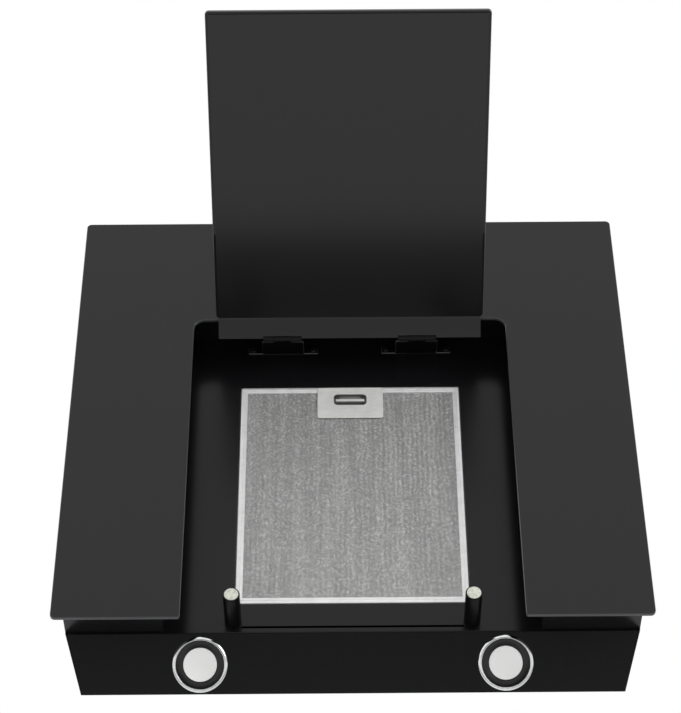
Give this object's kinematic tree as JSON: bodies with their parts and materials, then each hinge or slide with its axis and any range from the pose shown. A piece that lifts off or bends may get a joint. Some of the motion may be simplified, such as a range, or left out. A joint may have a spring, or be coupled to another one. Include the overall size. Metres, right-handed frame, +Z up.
{
  "type": "range hood",
  "caption": "Wall range hood with a leaning black glass face, hinged extraction flap shown open, grease filter, lamps and top outlet.",
  "frame": {"origin": "middle of the four wall screw holes, on the wall side of the back panel", "axes": "+Z up, +Y into the wall, the glass faces -Y and downwards, +X to the right of a person facing the hood"},
  "size_m": [0.598, 0.6647, 0.5214],
  "materials": {
    "black_paint": "satin black powder coat",
    "backing_paint": "satin black paint",
    "galvanised": "zinc-coated sheet",
    "black_glass": "glossy black, opaque from behind",
    "bonding": "matt",
    "bright_steel": "bright zinc",
    "post_plastic": "matt black",
    "magnet": "nickel plated",
    "filter_frame": "satin",
    "filter_mesh": "expanded mesh, satin",
    "latch_steel": "satin",
    "lamp_chrome": "polished",
    "lamp_black": "glossy black",
    "lamp_lens": "frosted white",
    "cast_housing": "as cast",
    "board": "solder mask",
    "impeller": "moulded grey",
    "rubber": "matt",
    "damper": "moulded dark grey",
    "box_plastic": "moulded light grey",
    "gland_plastic": "matt black",
    "capacitor_case": "white"
  },
  "bodies": {
    "housing": {"back_panel": "galvanised", "side_panel_left": "black_paint", "side_panel_right": "black_paint", "top_panel": "black_paint", "front_panel": "black_paint", "lamp_panel": "black_paint", "carrier_left": "black_paint", "carrier_right": "black_paint", "carrier_top": "black_paint", "glass_bond": "bonding", "glass_front": "black_glass", "hinge_bracket_left": "black_paint", "hinge_bracket_right": "black_paint", "hinge_pin_left": "bright_steel", "hinge_pin_right": "bright_steel", "post_left": "post_plastic", "post_right": "post_plastic", "post_magnet_left": "magnet", "post_magnet_right": "magnet", "filter_tray": "black_paint", "filter_frame": "filter_frame", "filter_mesh_front": "filter_mesh", "filter_mesh_back": "filter_mesh", "filter_core": "filter_mesh", "latch_plate": "latch_steel", "latch_spring": "bright_steel", "lamp_ring_left": "lamp_chrome", "lamp_ring_right": "lamp_chrome", "lamp_reflector_left": "lamp_black", "lamp_reflector_right": "lamp_black", "lamp_lens_left": "lamp_lens", "lamp_lens_right": "lamp_lens", "lamp_body_left": "cast_housing", "lamp_body_right": "cast_housing", "lamp_board_left": "board", "lamp_board_right": "board", "lamp_clips": "bright_steel", "blower_casing": "galvanised", "blower_inlets": "galvanised", "motor_body": "cast_housing", "motor_bracket": "galvanised", "mount_rubbers": "rubber", "outlet_collar": "black_paint", "damper_pins": "bright_steel", "electronics_box": "box_plastic", "electronics_lid": "box_plastic", "control_board": "board", "touch_board": "board", "cable_gland": "gland_plastic", "capacitor": "capacitor_case", "fixing_screws": "bright_steel"},
    "flap": {"flap_glass": "black_glass", "flap_backing": "backing_paint", "hinge_leaf_left": "bright_steel", "hinge_leaf_right": "bright_steel"},
    "latch": {"latch_slider": "filter_frame"},
    "fan": {"impeller": "impeller", "motor_shaft": "bright_steel"},
    "damper_front_body": {"damper_front": "damper"},
    "damper_rear_body": {"damper_rear": "damper"}
  },
  "joints": [
    {"name": "flap_hinge", "type": "hinge", "parent": "housing", "child": "flap", "pos_m": [0, -0.2969, -0.00597], "axis": [1, 0, 0], "range_deg": [0, 109.4]},
    {"name": "filter_latch", "type": "slide", "parent": "housing", "child": "latch", "axis": [0, 0.5736, -0.8192], "range_m": [0, 0.004], "stiffness_N_per_m": 400, "springref_m": -0.004},
    {"name": "fan_spin", "type": "hinge", "parent": "housing", "child": "fan", "pos_m": [0, -0.10488, -0.00943], "axis": [1, 0, 0], "continuous": true},
    {"name": "damper_front_hinge", "type": "hinge", "parent": "housing", "child": "damper_front_body", "pos_m": [0, -0.11088, 0.152], "axis": [-1, 0, 0], "range_deg": [0, 75]},
    {"name": "damper_rear_hinge", "type": "hinge", "parent": "housing", "child": "damper_rear_body", "pos_m": [0, -0.09888, 0.152], "axis": [1, 0, 0], "range_deg": [0, 75]}
  ]
}
